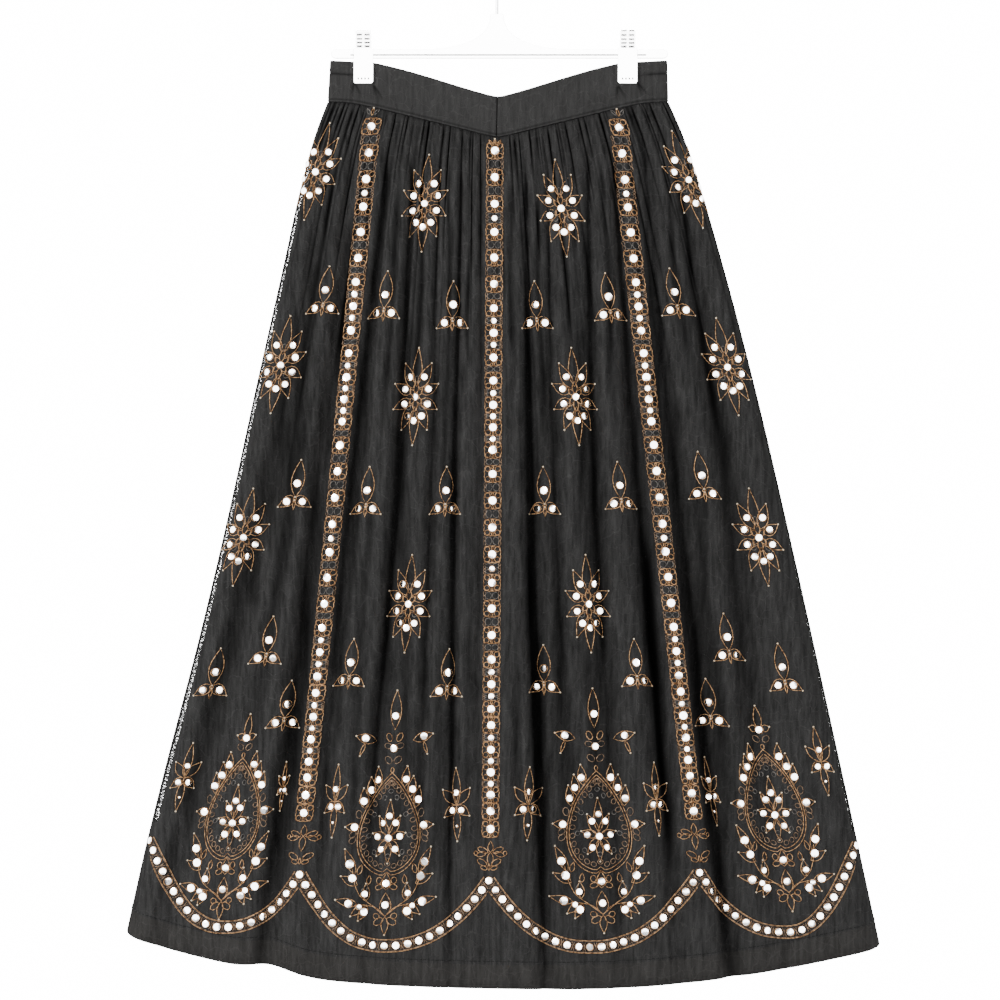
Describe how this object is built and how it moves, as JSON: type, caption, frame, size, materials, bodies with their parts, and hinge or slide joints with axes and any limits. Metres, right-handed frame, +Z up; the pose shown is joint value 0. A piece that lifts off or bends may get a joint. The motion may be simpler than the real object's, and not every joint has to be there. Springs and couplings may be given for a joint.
{
  "type": "midi skirt on a clip hanger",
  "caption": "Flared midi skirt of embroidered mesh, gathered into a V-shaped waistband, lined, with a concealed zip, hung by its waist from a bar hanger with clips.",
  "frame": {"origin": "the underside of the hanger hook's crown, where a rail carries it", "axes": "+Z up, +X to the right of someone facing the skirt's front, -Y out of the front"},
  "size_m": [0.7518, 0.1204, 1.043],
  "materials": {
    "embroidered_mesh": "sheer charcoal mesh with copper thread embroidery and small round mirrors",
    "waistband_cloth": "matt charcoal woven cloth, fused double",
    "lining": "smooth black lining",
    "mirrors": "small round glass mirrors sewn under rings of thread",
    "thread": "copper-gold embroidery thread",
    "zip_metal": "black enamelled zinc",
    "hanger_plastic": "white moulded plastic",
    "hook_steel": "bright plated steel"
  },
  "bodies": {
    "skirt": {"skirt_front": "embroidered_mesh", "skirt_back_left": "embroidered_mesh", "skirt_back_right": "embroidered_mesh", "waistband_front_left": "waistband_cloth", "waistband_front_right": "waistband_cloth", "waistband_back_left": "waistband_cloth", "waistband_back_right": "waistband_cloth", "lining_front": "lining", "lining_back": "lining", "zip_slider": "zip_metal", "hanger_bar": "hanger_plastic", "hanger_hook": "hook_steel", "clip_left_front": "hanger_plastic", "clip_left_back": "hanger_plastic", "clip_left_spring": "hook_steel", "clip_right_front": "hanger_plastic", "clip_right_back": "hanger_plastic", "clip_right_spring": "hook_steel"},
    "pull_tab": {"zip_pull": "zip_metal"}
  },
  "joints": [
    {"name": "pull_tab_hinge", "type": "hinge", "parent": "skirt", "child": "pull_tab", "pos_m": [-0.002, 0.01295, -0.15411], "axis": [1, 0, 0], "range_deg": [0, 165]}
  ]
}
